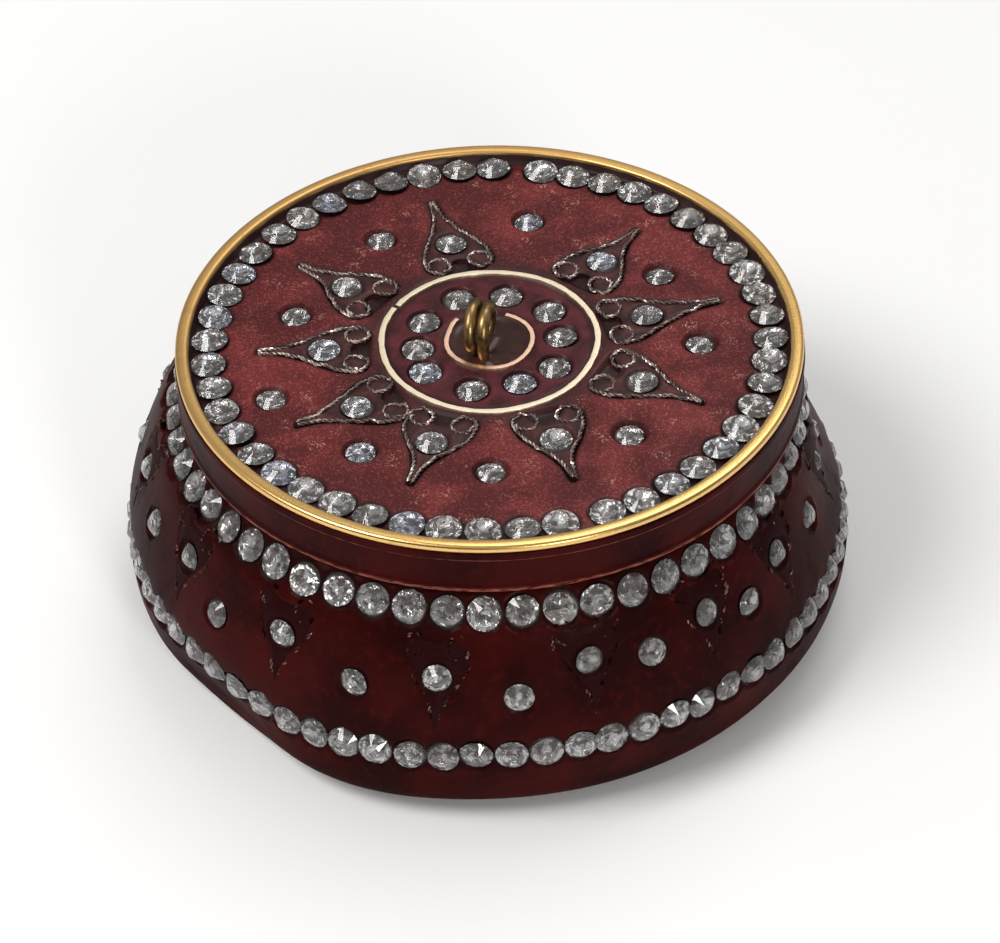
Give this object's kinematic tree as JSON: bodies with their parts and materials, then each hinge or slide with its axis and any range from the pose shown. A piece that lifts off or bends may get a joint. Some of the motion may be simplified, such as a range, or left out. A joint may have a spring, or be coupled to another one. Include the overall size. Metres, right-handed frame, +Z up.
{
  "type": "trinket box",
  "caption": "Low round lac-coated trinket box with a lift-off lid, set with glass stones, leaf inlays, brass strips and a wire pull loop.",
  "frame": {"origin": "centre of the flat underside, on the surface that the box stands on", "axes": "+Z up along the axis of the round box; +Y to the back, the pictured front faces -Y"},
  "size_m": [0.0732, 0.0732, 0.0337],
  "materials": {
    "cup_brass": "plain brass sheet, dulled",
    "rim_brass": "polished brass",
    "strip_brass": "pale brass strip, worn",
    "loop_brass": "brass wire, polished by handling",
    "copper_wire": "reddish brass strip",
    "leaf_wire": "fine twisted wire, tarnished",
    "jacket_lac": "glossy lac, very dark maroon",
    "red_lac": "glossy red lac with fine glitter",
    "centre_lac": "glossy dark red lac",
    "leaf_lac": "dark grey-brown lac",
    "dark_lac": "near-black glossy lac",
    "stone_glass": "faceted clear glass with a silvered back"
  },
  "bodies": {
    "base": {"base_shell": "cup_brass", "base_lac": "jacket_lac", "shoulder_stones": "stone_glass", "foot_stones": "stone_glass", "side_field_stones": "stone_glass", "side_leaf_stones": "stone_glass", "side_leaf_inlays": "leaf_lac"},
    "lid": {"lid_shell": "cup_brass", "skirt_lac": "jacket_lac", "rim_ring": "rim_brass", "lid_lac": "red_lac", "border_stones": "stone_glass", "petal_inlays": "leaf_lac", "petal_wires": "leaf_wire", "petal_stones": "stone_glass", "field_stones": "stone_glass", "mid_ring": "strip_brass", "inner_ring": "copper_wire", "centre_lac": "centre_lac", "centre_stones": "stone_glass", "loop_seat": "dark_lac", "pull_loop": "loop_brass"}
  },
  "joints": [
    {"name": "lid_lift", "type": "slide", "parent": "base", "child": "lid", "axis": [0, 0, 1], "range_m": [0, 0.04]}
  ]
}
